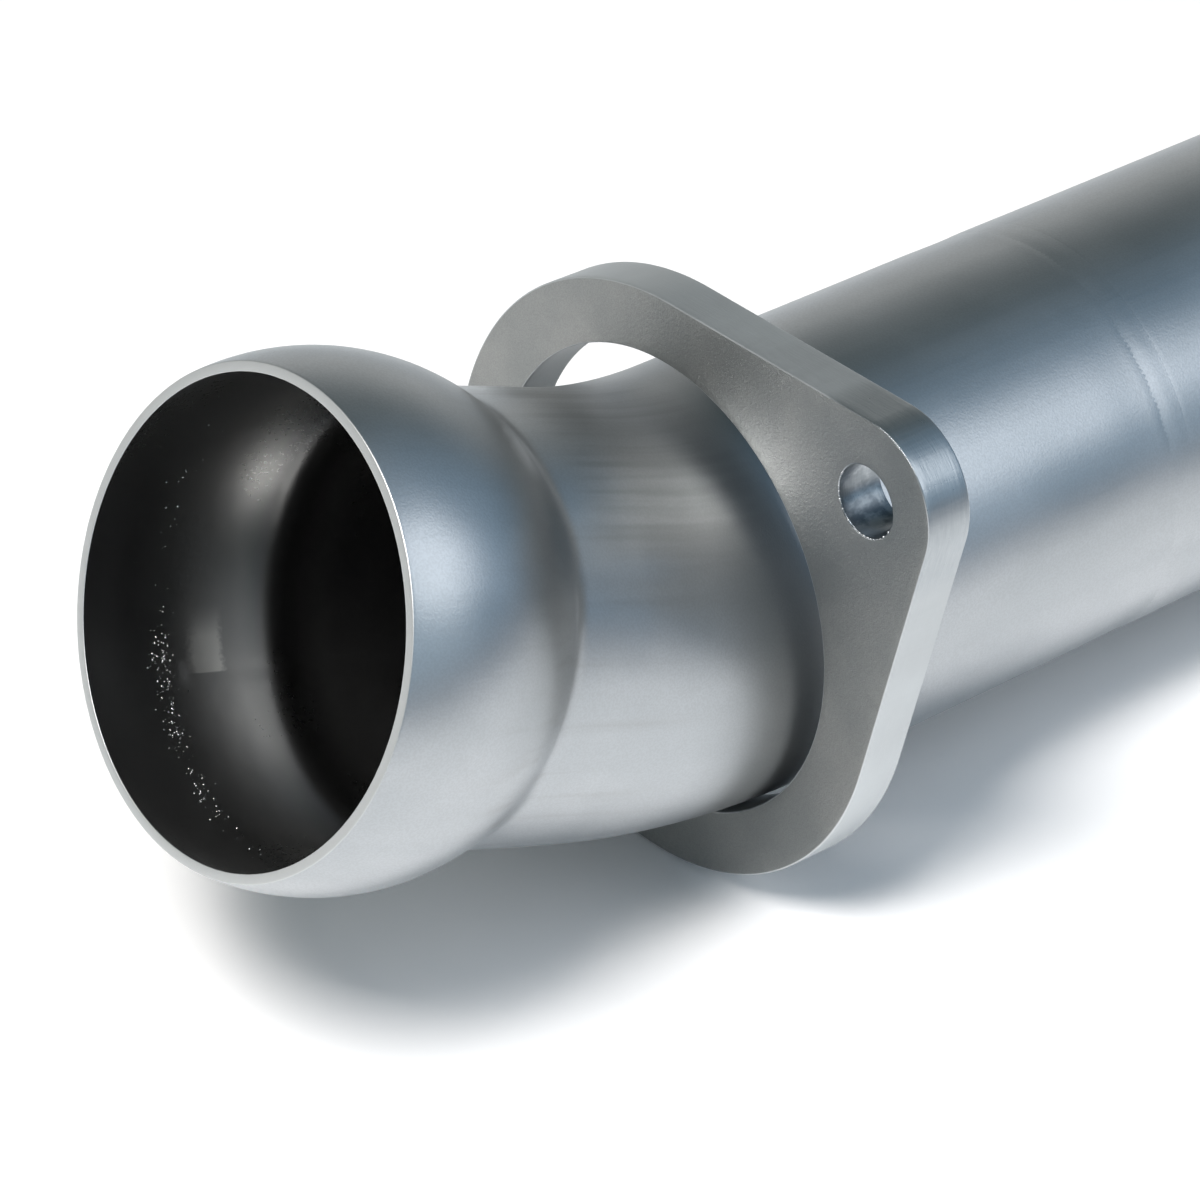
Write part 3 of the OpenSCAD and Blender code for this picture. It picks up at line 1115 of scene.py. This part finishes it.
def torn_finish(name):
    """Bright steel in lumps of a tenth of a millimetre, some of it rougher."""
    steel = Finish(name, {"Metallic": 1.0})
    lumps = steel.noise(steel.node("TexCoord", None, "Object"), 9000.0, 2.0)
    steel.set("Base Color", steel.mix(lumps.ramp(0.35, 0.65), STEEL, TORN_METAL))
    steel.set("Roughness", 0.18 + lumps * 0.2)
    return steel.done()


torn_metal = torn_finish("torn_metal")
for piece in (mouth_beads, flange_burrs):
    piece.data.materials.append(torn_metal)

# %% [markdown]
# ## White sweep
# The pipe lies on a wide white sheet under a white room. Its colour is mixed by the kind of
# ray that meets it: to the camera it is so pale that it is plain white where the light is
# full, so the picture has no horizon, and it is still a surface that takes the shadow. To
# the light that it throws back on the steel it is an ordinary matte white, with painted
# shade far in front, so that the steel reflects less there.

# %% The floor
FLOOR_WHITE = (0.84, 0.84, 0.84, 1)
FLOOR_SEEN = (1.08, 1.055, 1.045, 1)
FLOOR_SHINY = (0.90, 0.90, 0.90, 1)
# Painted shade on the floor far in front of the pipe.
FLOOR_FAR_SHADE = (0.26, 0.28, 0.31, 1)
FLOOR_FRONT = (0.34, -0.94, 0.0)
FLOOR_HALF = 3.0


def make_floor(name, half):
    """A square at the height of the ground, half a side to each side of the middle."""
    corners = np.array([[-1, -1, 0], [1, -1, 0], [1, 1, 0], [-1, 1, 0]]) * half
    return make_piece(name, corners, np.array([[0, 1, 2, 3]]), {})


def floor_finish(name):
    """Matte white under the pipe, with painted shade far in front of it, whiter for gloss and
    camera.
    """
    sheet = Finish(name)
    in_front = sheet.reach(sheet.node("TexCoord", None, "Object"), FLOOR_FRONT)
    # Painted shade: the floor greys off far in front.
    far = in_front.ramp(0.10, 0.52)
    gloss = sheet.node("LightPath", None, "Is Glossy Ray")
    glass = sheet.node("LightPath", None, "Is Transmission Ray")
    plain = sheet.mix(far, FLOOR_WHITE, FLOOR_FAR_SHADE)
    colour = sheet.mix(gloss + glass, plain, sheet.mix(far, FLOOR_SHINY, FLOOR_FAR_SHADE))
    seen = sheet.node("LightPath", None, "Is Camera Ray")
    matte = sheet.node("BsdfDiffuse", Color=sheet.mix(seen, colour, FLOOR_SEEN))
    output = sheet.tree.nodes["Material Output"]
    sheet.tree.links.new(matte.socket, output.inputs["Surface"])
    sheet.tree.nodes.remove(sheet.shader)
    return sheet.done()


floor = make_floor("floor", FLOOR_HALF)
floor.data.materials.append(floor_finish("white_sweep"))

# %% [markdown]
# ## Light
# The picture has two lights. A square soft box high beyond the mouth throws the shadow,
# which falls under the pipe and away from the mouth. A round one stands nearer and lower, on
# the camera's right, and shows as the pale band along the pipe. The room around is dark
# behind the pipe and blue-grey in front of it, with a paler horizon behind, so that the
# steel turns through all its tones between the lamp and the white floor.

# %% Lamps
SUBJECT = np.array([-0.20, -0.07, 0.05])


def stand(name, data, right, up, back, place):
    """An object at a place, turned so that its own axes point right, up and back."""
    turn = np.eye(4)
    turn[:3] = np.stack([right, up, back, place], 1)
    rig = bpy.data.objects.new(name, data)
    rig.matrix_world = Matrix(turn.tolist())
    bpy.context.collection.objects.link(rig)
    return rig


def soft_box(name, azimuth, elevation, distance, shape, size, watts, colour):
    """An area lamp that faces the subject from an azimuth and elevation in degrees."""
    azimuth, elevation = np.radians([azimuth, elevation])
    level = np.array([np.cos(azimuth), np.sin(azimuth), 0.0])
    towards = np.cos(elevation) * level + [0.0, 0.0, np.sin(elevation)]
    side = np.cross([0.0, 0.0, 1.0], level)
    lamp = bpy.data.lights.new(name, "AREA")
    lamp.shape, lamp.size, lamp.energy, lamp.color = shape, size, watts, colour
    place = SUBJECT + distance * towards
    stand(name, lamp, side, np.cross(towards, side), towards, place)
    print(f"{name}: {watts} W from {distance} m, at", place.round(3))


soft_box("shadow_box", -155, 60, 2.4, "SQUARE", 0.80, 61.0, (1.0, 0.985, 0.965))
soft_box("band_light", -58, 37, 1.3, "DISK", 0.90, 2.3, (1.0, 1.0, 1.0))


# %% The room
ROOM_DARK = (0.075, 0.10, 0.105, 1)
ROOM_BLUE = (0.20, 0.32, 0.44, 1)
ROOM_BRIGHT = (0.42, 0.55, 0.66, 1)
ROOM_PALE = (0.58, 0.59, 0.58, 1)
WHITE = (1, 1, 1, 1)
CAMERA_SIDE = (0.45, -0.84, 0.30)
PIPE_FRONT = (0.15, -0.96, 0.24)
PIPE_BACK = (0.10, 0.99, 0.0)


def room_light(world):
    """Dark behind, blue-grey in front, pale along the horizon behind; white to the camera."""
    world.use_nodes = True
    sky = Shading(world.node_tree)
    way = sky.node("TexCoord", None, "Generated")
    tone = sky.mix(sky.reach(way, CAMERA_SIDE).ramp(0.10, 0.95), ROOM_DARK, ROOM_BLUE)
    tone = sky.mix(sky.reach(way, PIPE_FRONT).ramp(0.84, 0.99), tone, ROOM_BRIGHT)
    low = 1 - sky.part(way, "Z").ramp(0.05, 0.72)
    tone = sky.mix(low * sky.reach(way, PIPE_BACK).ramp(0.10, 0.80), tone, ROOM_PALE)
    tone = sky.mix(sky.node("LightPath", None, "Is Camera Ray"), tone, WHITE)
    background = world.node_tree.nodes["Background"]
    sky.tree.links.new(tone.socket, background.inputs["Color"])
    print(f"{world.name}: {len(sky.tree.nodes)} nodes")


room = bpy.data.worlds.new("room")
bpy.context.scene.world = room
room_light(room)

# %% [markdown]
# ## Camera
# The photograph was taken from far away with a long lens, a little above the mouth. The place
# and the turn were worked out from the outlines of the rim, the ball, the flange and the tube.

# %% The camera
CAMERA_PLACE = (-0.6316, -0.6290, 0.5391)
CAMERA_RIGHT = (0.7873, -0.6155, -0.0362)
CAMERA_UP = (0.3777, 0.4351, 0.8174)
SENSOR = 36
LONG_LENS = 150

lens = bpy.data.cameras.new("long_lens")
lens.sensor_width = SENSOR
lens.lens = LONG_LENS
right = np.array(CAMERA_RIGHT) / np.linalg.norm(CAMERA_RIGHT)
back = np.cross(right, CAMERA_UP)
back = back / np.linalg.norm(back)
camera = stand("camera", lens, right, np.cross(back, right), back, CAMERA_PLACE)
bpy.context.scene.camera = camera
bpy.context.scene.view_settings.view_transform = "Standard"
print("camera to the pipe, m:", np.linalg.norm(np.array(CAMERA_PLACE) - SUBJECT).round(3))
